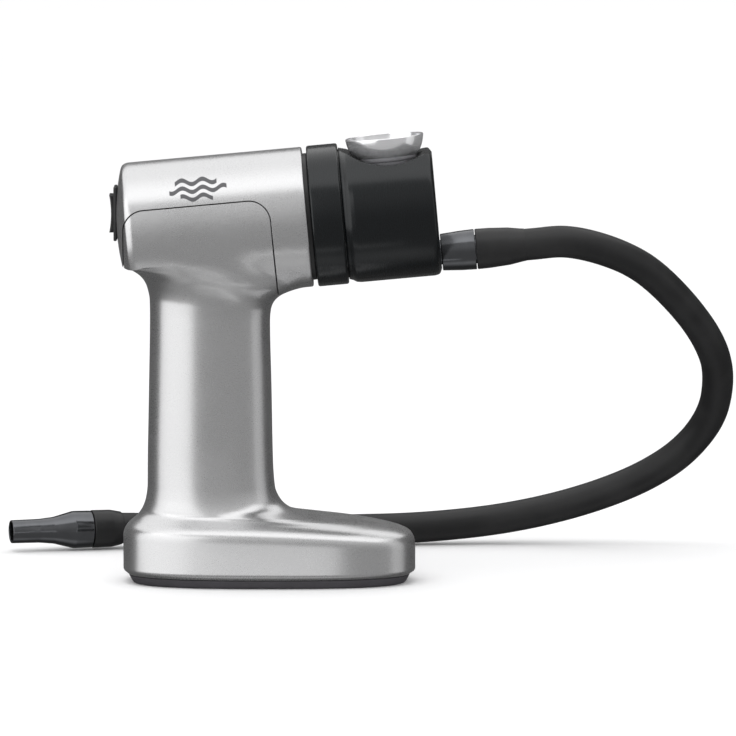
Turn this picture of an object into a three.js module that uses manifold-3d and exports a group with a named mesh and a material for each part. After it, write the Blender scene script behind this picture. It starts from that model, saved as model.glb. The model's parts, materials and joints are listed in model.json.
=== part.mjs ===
// Handheld smoke infuser: a pistol-shaped body on its own stand, with a battery fan in the barrel,
// a pull-off burn chamber with a lift-out bowl, and a rubber hose with a nozzle.
// Millimetres, +Z up, +X towards the burn chamber. The origin is under the stand, on the table.
import * as THREE from 'three';
import { mergeVertices } from 'three/addons/utils/BufferGeometryUtils.js';
import Module from 'manifold-3d';

const wasm = await Module();
wasm.setup();

// Driving dimensions
const GAP = 0.3; // between touching pieces
const WALL = 2.3; // silver mouldings
const SEAM = 0.5; // groove between the barrel and the handle

const TILT = THREE.MathUtils.degToRad(5.2); // barrel's rise towards the front
const BARREL_FACE = { x: 15, z: 153.7 }; // centre of the barrel's front face
const BARREL_R = 29.4;
const BARREL_REAR = -72.5; // where the rear edge starts to round
const REAR_APEX = -79; // middle of the shallow rear dome
const DOME_R = 95;
const BORE_R = BARREL_R - 2.5;
const CROTCH_Z = 133.5; // where the handle's rear fillet meets the barrel's end

const FOOT_TOP = 3.6;
const FOOT = { bottom: 57.4, top: 59.2, halfBottom: 28, halfTop: 29.8, square: 2.7 };
const DOOR = { x: -25, long: 38, wide: 34, thick: 2.6 };

const CELL = { r: 7.1, long: 50.5, pitch: 14.8, x: -25, z: 10.2 };
const AXLE_R = 1;

const COLLAR = { start: 3.5, end: 16.1, r: 29.6 };
const CHAMBER = { start: 8.4, step: 16.4, end: 55.4, r: 29.4, bore: 25, roof: 15.9 };
const SCOOP = { s: 38, v: 49.8, r: 30 }; // round hollow across the chamber's top
const BOWL = { s: 36.2, v: 32, r: 16.45, rim: 30.8, wall: 0.8 };
const NIPPLE_V = -20;
const NIPPLE = { start: CHAMBER.end + GAP, shoulder: 70, end: 84.5 };
const HOSE_R = 6.7;
const CUFF_R = 8.5;
const NOZZLE = { x: -67, y: 108, z: 8.8, turn: THREE.MathUtils.degToRad(16), cuff: 12 };
const SWITCH = { x: -64.1, z: 155.4 };

const RING_SIDES = 32;
const ROUND = 28;
const BARREL_SIDES = 40;

// Materials
const paint = (color, roughness, metalness) =>
  new THREE.MeshStandardMaterial({ color, roughness, metalness });
const SILVER = paint(0xb4b4b6, 0.32, 0.8);
const DARK = paint(0x45434a, 0.55, 0);
const BLACK = paint(0x1b2023, 0.35, 0.6);
const PLASTIC = paint(0x151515, 0.45, 0);
const CHROME = paint(0xe8e8ea, 0.06, 1);
const RUBBER = paint(0x242426, 0.75, 0);
const GUNMETAL = paint(0x57595e, 0.2, 0.9);
const STEEL = paint(0x9a9ca0, 0.35, 1);
const COPPER = paint(0xb06a3c, 0.4, 1);
const GREEN = paint(0x1f5a38, 0.5, 0);
const YELLOW = paint(0xb8862c, 0.4, 0.4);
const RED = paint(0xa02018, 0.5, 0);
const SOFT = paint(0x6d6f72, 0.7, 0);

const model = new THREE.Group();
const barrel = new THREE.Group(); // local +X runs along the barrel, +Z away from its axis
barrel.position.set(BARREL_FACE.x, 0, BARREL_FACE.z);
barrel.rotation.y = -TILT;
barrel.updateMatrix();
model.add(barrel);

// ---- solids -------------------------------------------------------------------------------

function toSolid(geometry) {
  let bare = geometry.clone();
  bare.deleteAttribute('normal');
  bare.deleteAttribute('uv');
  bare = mergeVertices(bare, 1e-4);
  const triVerts = Uint32Array.from(bare.index.array);
  const vertProperties = Float32Array.from(bare.attributes.position.array);
  const build = () => new wasm.Manifold(new wasm.Mesh({ numProp: 3, vertProperties, triVerts }));
  let solid = build();
  if (solid.volume() < 0) {
    for (let i = 0; i < triVerts.length; i += 3) {
      [triVerts[i], triVerts[i + 1]] = [triVerts[i + 1], triVerts[i]];
    }
    solid = build();
  }
  return solid;
}

function toGeometry(solid) {
  const mesh = solid.getMesh();
  const geometry = new THREE.BufferGeometry();
  geometry.setAttribute('position', new THREE.BufferAttribute(mesh.vertProperties, 3));
  geometry.setIndex(new THREE.BufferAttribute(mesh.triVerts, 1));
  geometry.computeVertexNormals();
  return geometry;
}

function join(first, ...others) {
  return toGeometry(others.reduce((solid, other) => solid.add(toSolid(other)), toSolid(first)));
}

function cut(first, ...others) {
  return toGeometry(others.reduce((solid, other) => solid.subtract(toSolid(other)), toSolid(first)));
}

function common(first, second) {
  return toGeometry(toSolid(first).intersect(toSolid(second)));
}

function add(name, geometry, material, parent = model) {
  const mesh = new THREE.Mesh(toGeometry(toSolid(geometry)), material);
  mesh.name = name;
  parent.add(mesh);
  return mesh;
}

// ---- shapes -------------------------------------------------------------------------------

// A turned solid about +Z from [radius, height] pairs.
function turned(pairs, sides = ROUND) {
  const points = pairs.map(([radius, height]) => new THREE.Vector2(radius, height));
  return new THREE.LatheGeometry(points, sides).rotateX(Math.PI / 2);
}

// The same about +X, from [radius, x] pairs.
function turnedAlong(pairs, sides = ROUND) {
  return turned(pairs, sides).rotateY(Math.PI / 2);
}

function ringAlong(inner, outer, start, end, sides = ROUND) {
  return turnedAlong([[inner, start], [outer, start], [outer, end], [inner, end], [inner, start]], sides);
}

function rodAlong(radius, start, end, sides = ROUND) {
  return turnedAlong([[0, start], [radius, start], [radius, end], [0, end]], sides);
}

function box(x0, x1, y0, y1, z0, z1) {
  const geometry = new THREE.BoxGeometry(x1 - x0, y1 - y0, z1 - z0);
  return geometry.translate((x0 + x1) / 2, (y0 + y1) / 2, (z0 + z1) / 2);
}

// An outline in X and Z, given width along Y about y = 0.
function slab(shape, width, curveSegments = 4) {
  const geometry = new THREE.ExtrudeGeometry(shape, { depth: width, bevelEnabled: false, curveSegments });
  return geometry.rotateX(Math.PI / 2).translate(0, width / 2, 0);
}

// An outline in X and Y, given height along Z from a level.
function plate(shape, level, height, curveSegments = 2) {
  const geometry = new THREE.ExtrudeGeometry(shape, { depth: height, bevelEnabled: false, curveSegments });
  return geometry.translate(0, 0, level);
}

function roundedRect(cx, cy, long, wide, radius) {
  const shape = new THREE.Shape();
  const [x, y] = [long / 2 - radius, wide / 2 - radius];
  shape.absarc(cx + x, cy + y, radius, 0, Math.PI / 2);
  shape.absarc(cx - x, cy + y, radius, Math.PI / 2, Math.PI);
  shape.absarc(cx - x, cy - y, radius, Math.PI, 1.5 * Math.PI);
  shape.absarc(cx + x, cy - y, radius, 1.5 * Math.PI, 2 * Math.PI);
  shape.closePath();
  return shape;
}

function circle(radius, cx = 0, cy = 0) {
  const shape = new THREE.Shape();
  shape.absarc(cx, cy, radius, 0, 2 * Math.PI);
  return shape;
}

// A tube of one round section along a smooth line through the points.
function tube(points, radius, steps, sides) {
  const stops = points.map(point => new THREE.Vector3(...point));
  const line = new THREE.CatmullRomCurve3(stops, false, 'centripetal');
  const section = { steps, extrudePath: line, curveSegments: sides / 2, bevelEnabled: false };
  return new THREE.ExtrudeGeometry(circle(radius), section);
}

function oval({ rear, front, half, square, rearZ, frontZ, arch = 0 }, inset = 0, drop = 0) {
  const middle = (rear + front) / 2;
  const reach = (front - rear) / 2 - inset;
  return Array.from({ length: RING_SIDES }, (_, i) => {
    const angle = (2 * Math.PI * i) / RING_SIDES;
    const [c, s] = [Math.cos(angle), Math.sin(angle)];
    const along = Math.sign(c) * Math.abs(c) ** (2 / square);
    const across = Math.sign(s) * Math.abs(s) ** (2 / square);
    const slope = rearZ + (frontZ - rearZ) * (along + 1) / 2 + arch * (1 - along * along);
    return new THREE.Vector3(middle + reach * along, (half - inset) * across, slope - drop);
  });
}

// A closed solid through rings of points, with a flat fan over each end.
function loft(rings) {
  const centres = [rings[0], rings.at(-1)].map(ring =>
    ring.reduce((sum, point) => sum.add(point), new THREE.Vector3()).divideScalar(ring.length));
  const positions = [...rings.flat(), ...centres].flatMap(point => point.toArray());
  const [low, high] = [rings.length * RING_SIDES, rings.length * RING_SIDES + 1];
  const index = [];
  for (let i = 0; i < RING_SIDES; i++) {
    const next = (i + 1) % RING_SIDES;
    for (let r = 0; r + 1 < rings.length; r++) {
      const [a, b] = [r * RING_SIDES + i, r * RING_SIDES + next];
      index.push(a, b, b + RING_SIDES, a, b + RING_SIDES, a + RING_SIDES);
    }
    index.push(low, next, i);
    const top = (rings.length - 1) * RING_SIDES;
    index.push(high, top + i, top + next);
  }
  const geometry = new THREE.BufferGeometry();
  geometry.setAttribute('position', new THREE.Float32BufferAttribute(positions, 3));
  geometry.setIndex(index);
  return geometry;
}

// ---- the silver body: stand, handle and barrel ---------------------------------------------

// Rings from the stand's lower edge up into the barrel: levels at the rear and front ends,
// the ends themselves, the half width, and how square the ring is (2 is an ellipse).
const RINGS = [
  { rearZ: 3.9, frontZ: 3.9, rear: -59.5, front: 59.5, half: 30.1, square: 2.7 },
  { rearZ: 6, frontZ: 5.7, rear: -61.4, front: 61.4, half: 32, square: 2.7 },
  { rearZ: 20.2, frontZ: 15.5, rear: -61.4, front: 61.4, half: 32, square: 2.7, arch: 1.2 },
  { rearZ: 21.9, frontZ: 17.2, rear: -61, front: 61.2, half: 31.8, square: 2.7, arch: 1.5 },
  { rearZ: 25.2, frontZ: 20.6, rear: -58.6, front: 59.6, half: 29.5, square: 2.7, arch: 1.4 },
  { rearZ: 26.8, frontZ: 22.4, rear: -56.7, front: 56.6, half: 27.7, square: 2.6, arch: 1.1 },
  { rearZ: 29.7, frontZ: 25.9, rear: -54.3, front: 42, half: 24.7, square: 2.5 },
  { rearZ: 30.9, frontZ: 27.2, rear: -53.5, front: 31, half: 23.6, square: 2.5 },
  { rearZ: 32.2, frontZ: 28.5, rear: -52.9, front: 19, half: 22.7, square: 2.5 },
  { rearZ: 34.2, frontZ: 30.2, rear: -52.2, front: 10.5, half: 21.8, square: 2.5 },
  { rearZ: 41, frontZ: 40, rear: -51.2, front: 2.4, half: 20.3, square: 2.5 },
  { rearZ: 51, frontZ: 51, rear: -51.1, front: 1.6, half: 20, square: 2.5 },
  { rearZ: 82, frontZ: 82, rear: -50.5, front: 1, half: 20, square: 2.5 },
  { rearZ: 113, frontZ: 110, rear: -50, front: 0.4, half: 20, square: 2.5 },
  { rearZ: 123.4, frontZ: 118.2, rear: -50.9, front: 2.1, half: 21.2, square: 2.5 },
  { rearZ: 126.4, frontZ: 120.6, rear: -52, front: 4.1, half: 22.2, square: 2.6 },
  { rearZ: 132, frontZ: 124.8, rear: -57.8, front: 14, half: 24.9, square: 3.2 },
  { rearZ: CROTCH_Z, frontZ: 128, rear: -60.6, front: 13, half: 25.9, square: 3.8 },
  { rearZ: 137, frontZ: 133, rear: -59.4, front: 8, half: 27.1, square: 3.8 },
  { rearZ: 141, frontZ: 140, rear: -57, front: 2, half: 27.9, square: 3.6 },
  { rearZ: 147, frontZ: 148, rear: -52, front: -6, half: 27.6, square: 3.4 },
];

const SOLID_ONLY = [3, 5, 7, 11, 12, 17, 19]; // rings that the hollow inside does without

function domeEdge(apex, radius, sphere) {
  return apex + sphere - Math.sqrt(sphere * sphere - radius * radius);
}

// The barrel's outer form, or its bore, about its own axis: a shallow dome at the rear end.
function barrelForm(radius, apex, rear, front) {
  const domed = [0, 0.35, 0.65, 0.9].map(share => [radius * share, domeEdge(apex, radius * share, DOME_R)]);
  const corner = [radius * 0.966, domeEdge(apex, radius * 0.9, DOME_R) + 0.75];
  return turnedAlong([...domed, corner, [radius, rear], [radius, front], [0, front]], BARREL_SIDES);
}

// The space behind and under the barrel's lower rear, where the handle's fillet takes its place.
function underRear(level) {
  return box(-90, -24, -40, 40, 90, level);
}

// What belongs to the handle: all that is below the barrel, and a rounded tongue on each side of it.
function handleSide(grow) {
  const at = (s, v) => new THREE.Vector2(s, v)
    .rotateAround(new THREE.Vector2(), TILT).add(new THREE.Vector2(BARREL_FACE.x, BARREL_FACE.z));
  const [top, front, rear, radius] = [10.7 + grow, -14.1 + grow, -74.6 - grow, 8.8 + grow];
  const corner = (s, v, from) => [0, 1, 2, 3, 4].map(step => {
    const angle = from - (step * Math.PI) / 8;
    return at(s + radius * Math.cos(angle), v + radius * Math.sin(angle));
  });
  const points = [
    new THREE.Vector2(-95, -20),
    new THREE.Vector2(-95, CROTCH_Z - SEAM + grow),
    new THREE.Vector2(-60.4 - grow, CROTCH_Z - SEAM + grow),
    ...corner(rear + radius, top - radius, Math.PI),
    ...corner(front - radius, top - radius, Math.PI / 2),
    at(front, -30.5),
    new THREE.Vector2(95, at(front, -30.5).y),
    new THREE.Vector2(95, -20),
  ];
  return slab(new THREE.Shape(points), 90);
}

function screwPost(x, z) {
  const post = turned([[0, -19], [4, -19], [4, 19], [0, 19]], 12);
  return post.rotateX(Math.PI / 2).translate(x, 0, z);
}

function crossHole(radius, y0, y1, x, z) {
  const hole = turned([[0, y0], [radius, y0], [radius, y1], [0, y1]], 12);
  return hole.rotateX(-Math.PI / 2).translate(x, 0, z);
}

function footPost(x, y) {
  const post = turned([[0, FOOT_TOP + GAP], [3.6, FOOT_TOP + GAP], [3.6, 40], [0, 40]], 12);
  return post.translate(x, y, 0);
}

const POSTS = [[-25, 74], [-25, 121]];
const FOOT_SCREWS = [[-50, -13], [-50, 13], [44, -15], [44, 15]];

function silverBody() {
  const toWorld = geometry => geometry.applyMatrix4(barrel.matrix);
  const outerBarrel = cut(toWorld(barrelForm(BARREL_R, REAR_APEX, BARREL_REAR, 0)), underRear(CROTCH_Z));
  const outer = join(outerBarrel, loft(RINGS.map(ring => oval(ring))));
  const bore = cut(
    toWorld(barrelForm(BORE_R, REAR_APEX + 2.6, BARREL_REAR + 1.5, 8)),
    underRear(CROTCH_Z + WALL),
  );
  const under = ring => (ring === RINGS[0] ? 4 : THREE.MathUtils.clamp((45 - ring.rearZ) / 6, 0, WALL));
  const hollow = RINGS.filter((ring, i) => !SOLID_ONLY.includes(i)).map(ring => oval(ring, WALL, under(ring)));
  const shell = cut(outer, join(bore, loft(hollow)));
  const posts = FOOT_SCREWS.map(([x, y]) => common(footPost(x, y), outer));
  return join(shell, ...posts);
}

function addBody() {
  const body = silverBody();
  const openings = [
    box(-80, -60, -7.6, 7.6, SWITCH.z - 10.4, SWITCH.z + 10.4),
  ];
  add('barrel_housing', cut(body, handleSide(SEAM), ...openings), SILVER);

  let handle = common(body, handleSide(0));
  handle = join(handle, ...POSTS.map(([x, z]) => screwPost(x, z)));
  const drilled = FOOT_SCREWS.map(([x, y]) =>
    turned([[0, 0], [1.3, 0], [1.3, 14], [0, 14]], 12).translate(x, y, 0));
  const across = POSTS.flatMap(([x, z]) => [
    crossHole(1.5, -13, 30, x, z),
    crossHole(3.6, 13.9, 40, x, z),
  ]);
  handle = cut(handle, ...drilled, ...across);
  add('handle_shell_left', common(handle, box(-90, 90, -60, -GAP / 2, -20, 190)), SILVER);
  add('handle_shell_right', common(handle, box(-90, 90, GAP / 2, 60, -20, 190)), SILVER);

  POSTS.forEach(([x, z], i) => {
    const screw = turned([[0, -12], [1.2, -12], [1.2, 14.2], [3.1, 14.2], [3.1, 16], [0, 16.6]], 12);
    add(`shell_screw_${i + 1}`, screw.rotateX(-Math.PI / 2).translate(x, 0, z), STEEL);
  });
}

function addFoot() {
  const rings = [
    { rearZ: 0, frontZ: 0, rear: -FOOT.bottom, front: FOOT.bottom, half: FOOT.halfBottom, square: FOOT.square },
    { rearZ: FOOT_TOP, frontZ: FOOT_TOP, rear: -FOOT.top, front: FOOT.top, half: FOOT.halfTop, square: FOOT.square },
  ];
  const window = plate(roundedRect(DOOR.x, 0, DOOR.long, DOOR.wide, 3), -1, 9);
  const holes = FOOT_SCREWS.map(([x, y]) =>
    turned([[0, -1], [3.5, -1], [3.5, 2], [1.6, 2], [1.6, 6], [0, 6]], 12).translate(x, y, 0));
  add('foot_plate', cut(loft(rings.map(ring => oval(ring))), window, ...holes), DARK);

  FOOT_SCREWS.forEach(([x, y], i) => {
    const screw = turned([[0, 0.6], [3.1, 0.6], [3.1, 1.7], [1, 1.7], [1, 12], [0, 12]], 12);
    add(`foot_screw_${i + 1}`, screw.translate(x, y, 0), STEEL);
  });

  const grip = box(DOOR.x + 9, DOOR.x + 13, -6, 6, 0, 1.4);
  const lid = plate(roundedRect(DOOR.x, 0, DOOR.long - 2 * GAP, DOOR.wide - 2 * GAP, 2.7), 0.4, DOOR.thick);
  add('battery_door', cut(lid, grip), DARK);
}

// ---- batteries and wiring ------------------------------------------------------------------

const CELL_PLACES = [[-1, -1], [1, -1], [1, 1], [-1, 1]].map(([i, j]) =>
  [CELL.x + i * CELL.pitch / 2, j * CELL.pitch / 2]);

function spring(x, y, low, high) {
  const turns = 2.5;
  const points = Array.from({ length: 21 }, (_, i) => {
    const angle = 2 * Math.PI * turns * (i / 20);
    const radius = 4.4 - 1.4 * (i / 20);
    return [x + radius * Math.cos(angle), y + radius * Math.sin(angle), low + 0.5 + (high - low - 1) * (i / 20)];
  });
  return tube(points, 0.4, 20, 4);
}

function addBatteries() {
  const top = CELL.z + CELL.long;
  const sleeve = plate(roundedRect(CELL.x, 0, 33.4, 32.6, 8.5), CELL.z - 1, CELL.long - 2, 3);
  const bores = CELL_PLACES.map(([x, y]) =>
    turned([[0, 0], [CELL.r + 0.25, 0], [CELL.r + 0.25, 80], [0, 80]], 14).translate(x, y, 0));
  add('battery_holder', cut(sleeve, ...bores), PLASTIC);

  CELL_PLACES.forEach(([x, y], i) => {
    const flip = i % 2 ? -1 : 1;
    const middle = CELL.long / 2;
    const profile = [[0, -middle], [CELL.r, -middle], [CELL.r, middle - 1.4], [2.8, middle - 1.2], [2.7, middle],
      [0, middle]];
    const cell = turned(profile, 12);
    if (flip < 0) cell.rotateX(Math.PI);
    add(`battery_${i + 1}`, cell.translate(x, y, CELL.z + middle), YELLOW);
    add(`battery_spring_${i + 1}`, spring(x, y, 4.6, CELL.z - GAP), STEEL);
  });

  for (const side of [-1, 1]) {
    const number = side < 0 ? 1 : 2;
    const y = (side * CELL.pitch) / 2;
    const strip = plate(roundedRect(CELL.x, y, 25, 9, 2), 3.6, 0.4);
    add(`door_contact_${number}`, strip, COPPER);
    const x = CELL.x + y;
    add(`top_contact_${number}`, plate(roundedRect(x, 0, 9, 25, 2), top + GAP, 0.4), COPPER);
  }
}

function addElectronics() {
  add('speed_board', box(-38, -13, -8, -6.4, 81, 107), GREEN);
  add('power_transistor', box(-30, -20, -6.1, -1.9, 88, 102), PLASTIC);
  const wires = {
    wire_battery: [[-34, 6, 62.3], [-34, 6, 64.5], [-39, 8, 68], [-43, 8, 78], [-43, 8, 115], [-45, 6, 138],
      [-46, 4, 149.4]],
    wire_switch: [[-45.8, -4, 161.8], [-43.5, -9, 163], [-42, -16, 158], [-42.5, -16, 140], [-43, -10, 118],
      [-40.5, -7.4, 101], [-39, -7.2, 98]],
    wire_ground: [[-16, -3, 62.3], [-16, -3, 64.5], [-15, -6, 71], [-16, -7.2, 76], [-16, -7.2, 80.3]],
    wire_motor: [[-16, -7.2, 107.8], [-16, -7.4, 112], [-15.5, -10, 119], [-19, -15, 128], [-31, -15, 137],
      [-34, -8, 145], [-30.6, -6, 147.5]],
  };
  const colours = { wire_battery: RED, wire_switch: RED, wire_ground: PLASTIC, wire_motor: PLASTIC };
  for (const [name, points] of Object.entries(wires)) {
    add(name, tube(points, 0.75, 3 * points.length, 6), colours[name]);
  }
}

// ---- switch on the rear end -----------------------------------------------------------------

function addSwitch() {
  const group = new THREE.Group();
  group.position.set(SWITCH.x, 0, SWITCH.z);
  model.add(group);

  const bezel = box(-1.5, -GAP, -7.4, 7.4, -11.3, 11.3);
  const hole = box(-3, 3, -5.7, 5.7, -9.3, 9.3);
  add('switch_bezel', cut(bezel, hole), PLASTIC, group);

  const body = cut(box(0.3, 15.5, -7, 7, -9.9, 9.9), box(-1, 9, -5.8, 5.8, -9.3, 9.3));
  add('switch_body', body, PLASTIC, group);

  const side = new THREE.Shape();
  side.moveTo(-2.7, 7.9);
  side.absarc(-19.5, 0, Math.hypot(16.8, 7.9), Math.atan2(7.9, 16.8), -Math.atan2(7.9, 16.8), true);
  side.lineTo(1.6, -7.7);
  side.lineTo(6.4, -2);
  side.absarc(4.6, 0, 2.7, -0.84, 0.84);
  side.lineTo(1.6, 7.7);
  side.closePath();
  add('switch_rocker', slab(side, 10.8, 3), PLASTIC, group);

  [-6.4, 6.4].forEach((z, i) => {
    add(`switch_terminal_${i + 1}`, box(15.8, 17.4, -2, 2, z - 0.4, z + 0.4), COPPER, group);
  });
}

// ---- motor and fan ---------------------------------------------------------------------------

function addMotor() {
  const can = turnedAlong([[3.2, -14], [12, -14], [12, -42], [11, -42], [11, -15], [3.2, -15], [3.2, -14]], 28);
  add('motor_can', can, STEEL, barrel);
  add('motor_end_cap', ringAlong(1.4, 12, -44, -42.3, 28), PLASTIC, barrel);
  const rotor = cut(rodAlong(9.4, -39, -18, 24), rodAlong(AXLE_R + 0.3, -45, -10, 12));
  add('motor_rotor', rotor, COPPER, barrel);
  add('motor_shaft', rodAlong(AXLE_R, -43.5, 5, 12), STEEL, barrel);

  const holes = [-1, 1].map(side => rodAlong(1.6, -20, 0, 12).translate(0, side * 18, 0));
  const mount = ringAlong(3.2, BORE_R - GAP, -13.7, -11.2);
  add('motor_mount', cut(mount, ...holes), PLASTIC, barrel);
  [-1, 1].forEach((side, i) => {
    const screw = turnedAlong([[0, -20], [1.2, -20], [1.2, -10.9], [2.4, -10.9], [2.4, -9.9], [0, -9.7]], 12);
    add(`motor_screw_${i + 1}`, screw.translate(0, side * 18, 0), STEEL, barrel);
  });

  const disc = ringAlong(AXLE_R + 0.3, 20, -1.5, -0.3, 28);
  const hub = ringAlong(AXLE_R + 0.3, 4, -4, 6, 12);
  const blades = Array.from({ length: 8 }, (_, i) =>
    box(-0.6, 8, 3, 19.6, -0.6, 0.6).rotateX((i * Math.PI) / 4));
  add('impeller', join(disc, hub, ...blades), PLASTIC, barrel);
}

function addNeck() {
  const neck = turnedAlong([
    [3.2, -9], [BORE_R - GAP, -9], [BORE_R - GAP, 3.1], [24.6, 3.1], [24.6, 5.4], [23.4, 5.4], [23.4, 7.2],
    [24.6, 7.2], [24.6, 10.8], [22.3, 10.8], [22.3, -7], [3.2, -7], [3.2, -9]], 32);
  add('fan_neck', neck, PLASTIC, barrel);
  add('shaft_bush', ringAlong(AXLE_R + 0.3, 2.9, -9.4, -6.6, 12), YELLOW, barrel);
  const seal = new THREE.TorusGeometry(24.15, 0.55, 5, 24).rotateY(Math.PI / 2).translate(6.3, 0, 0);
  add('neck_seal', seal, SOFT, barrel);
}

// ---- burn chamber ---------------------------------------------------------------------------

function scoopCutter() {
  const side = new THREE.Shape();
  const end = CHAMBER.end + 4;
  const angle = s => Math.atan2(-Math.sqrt(SCOOP.r ** 2 - (s - SCOOP.s) ** 2), s - SCOOP.s);
  side.moveTo(15.9, 29.9);
  side.absarc(SCOOP.s, SCOOP.v, SCOOP.r, angle(20.4), angle(end), false);
  side.lineTo(end, 60);
  side.lineTo(15.9, 60);
  side.closePath();
  return slab(side, 80, 9);
}

function addChamber() {
  const collar = turnedAlong([
    [25, COLLAR.start], [28.9, COLLAR.start], [COLLAR.r, COLLAR.start + 0.8], [COLLAR.r, COLLAR.end - 0.8],
    [28.9, COLLAR.end], [27.3, COLLAR.end], [27.3, 8], [25, 8], [25, COLLAR.start]], 32);
  add('chamber_collar', collar, BLACK, barrel);

  const outside = turnedAlong([
    [0, CHAMBER.start], [27, CHAMBER.start], [27, CHAMBER.step], [28.2, CHAMBER.step], [28.9, 17.6], [29.3, 19.2],
    [CHAMBER.r, 20.6], [CHAMBER.r, CHAMBER.end - 2.6], [28.6, CHAMBER.end - 0.8], [26.8, CHAMBER.end],
    [0, CHAMBER.end]], BARREL_SIDES);
  const inside = cut(rodAlong(CHAMBER.bore, 0, CHAMBER.end - 2.6), box(13, 80, -40, 40, CHAMBER.roof, 60));
  const seat = turned([[0, 0], [10.6, 0], [10.6, 18.9], [15.4, 18.9], [15.4, 60], [0, 60]], 28);
  const outlet = rodAlong(5.5, 40, 70, 24).translate(0, 0, NIPPLE_V);
  const chamber = cut(outside, inside, scoopCutter(), seat.translate(BOWL.s, 0, 0), outlet);
  add('burn_chamber', chamber, BLACK, barrel);

  const gasket = turned([[10.9, 19.2], [14, 19.2], [14, 20.5], [12.5, 20.5], [10.9, 19.2]], 28);
  add('seat_gasket', gasket.translate(BOWL.s, 0, 0), SOFT, barrel);
}

function addBowl() {
  const arc = (radius, from, to, steps) => Array.from({ length: steps + 1 }, (_, i) => {
    const level = from + ((to - from) * i) / steps;
    return [Math.sqrt(radius ** 2 - (BOWL.v - level) ** 2), level];
  });
  const inner = BOWL.r - BOWL.wall;
  const profile = [
    [6.6, 14.4], [8, 14.4], [8.2, 16.2], ...arc(BOWL.r, 17.74, BOWL.rim, 5),
    ...arc(inner, BOWL.rim, 18.2, 5), [6.6, 18], [6.6, 14.4]];
  add('bowl', turned(profile, 24).translate(BOWL.s, 0, 0), CHROME, barrel);

  const disc = circle(7.4);
  for (const [radius, count] of [[2.4, 5], [5, 8]]) {
    for (let i = 0; i < count; i++) {
      const angle = (2 * Math.PI * i) / count;
      const hole = new THREE.Path();
      hole.absarc(radius * Math.cos(angle), radius * Math.sin(angle), 0.7, 0, 2 * Math.PI);
      disc.holes.push(hole);
    }
  }
  add('bowl_screen', plate(disc, 18.6, 0.4, 3).translate(BOWL.s, 0, 0), STEEL, barrel);
}

function addNipple() {
  const nipple = turnedAlong([
    [4.4, CHAMBER.end - 2.4], [5.2, CHAMBER.end - 2.4], [5.2, NIPPLE.start], [7.7, NIPPLE.start], [8.3, 64],
    [CUFF_R, NIPPLE.shoulder], [6, NIPPLE.shoulder], [6, NIPPLE.end], [4.4, NIPPLE.end],
    [4.4, CHAMBER.end - 2.4]], 18);
  add('hose_nipple', nipple.translate(0, 0, NIPPLE_V), GUNMETAL, barrel);
  const cuff = turnedAlong([
    [6.3, NIPPLE.shoulder + GAP], [CUFF_R, NIPPLE.shoulder + GAP], [CUFF_R, 83], [7.7, 86], [6.3, 86],
    [6.3, NIPPLE.shoulder + GAP]], 18);
  add('hose_cuff_inlet', cuff.translate(0, 0, NIPPLE_V), RUBBER, barrel);
}

// ---- hose and nozzle --------------------------------------------------------------------------

// The hose leaves along the barrel, loops down behind the object and lies on the table.
const HOSE_ROUTE = [
  [103.2, 0, 141.6], [111, 0.2, 142.3], [124, 4, 142.9], [140, 12, 139], [157, 24, 130.4], [174, 41.5, 114],
  [186.5, 59, 96], [191.3, 72, 82], [190.6, 86, 65], [185.5, 95.5, 53], [176, 103, 41.7], [163, 110, 32.2],
  [147, 116.5, 24.2], [125, 121.5, 16.6], [99, 123.8, 10.9], [66, 121.5, 7.6], [30, 117, 6.9], [-10, 113.6, 6.9],
  [-42, 112.6, 7.4], [-56, 110.9, 8.3], [-66.6, 108.1, 8.8],
];

function addHose() {
  add('hose', tube(HOSE_ROUTE, HOSE_R, 36, 10), RUBBER);

  const tip = new THREE.Group();
  tip.position.set(NOZZLE.x, NOZZLE.y, NOZZLE.z);
  tip.rotation.z = Math.PI + NOZZLE.turn;
  model.add(tip);
  const start = NOZZLE.cuff + GAP;
  const cuff = turnedAlong([[6.3, 0.2], [7.4, 0.2], [8.2, 3], [8.2, NOZZLE.cuff], [6.3, NOZZLE.cuff], [6.3, 0.2]], 18);
  add('hose_cuff_outlet', cuff, RUBBER, tip);
  const nozzle = turnedAlong([
    [4, 1.5], [6, 1.5], [6, start], [8, start], [8, start + 8], [7.5, start + 10.5], [6, start + 17],
    [5.3, start + 20], [5, start + 23], [5, start + 35.5], [4.1, start + 35.5], [4, 1.5]], 18);
  add('nozzle', nozzle, GUNMETAL, tip);
}

addBody();
addFoot();
addBatteries();
addElectronics();
addSwitch();
addMotor();
addNeck();
addChamber();
addBowl();
addNipple();
addHose();

export default model;
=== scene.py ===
import json
import math

import bmesh
import bpy
from mathutils import Matrix, Vector, kdtree


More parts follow.
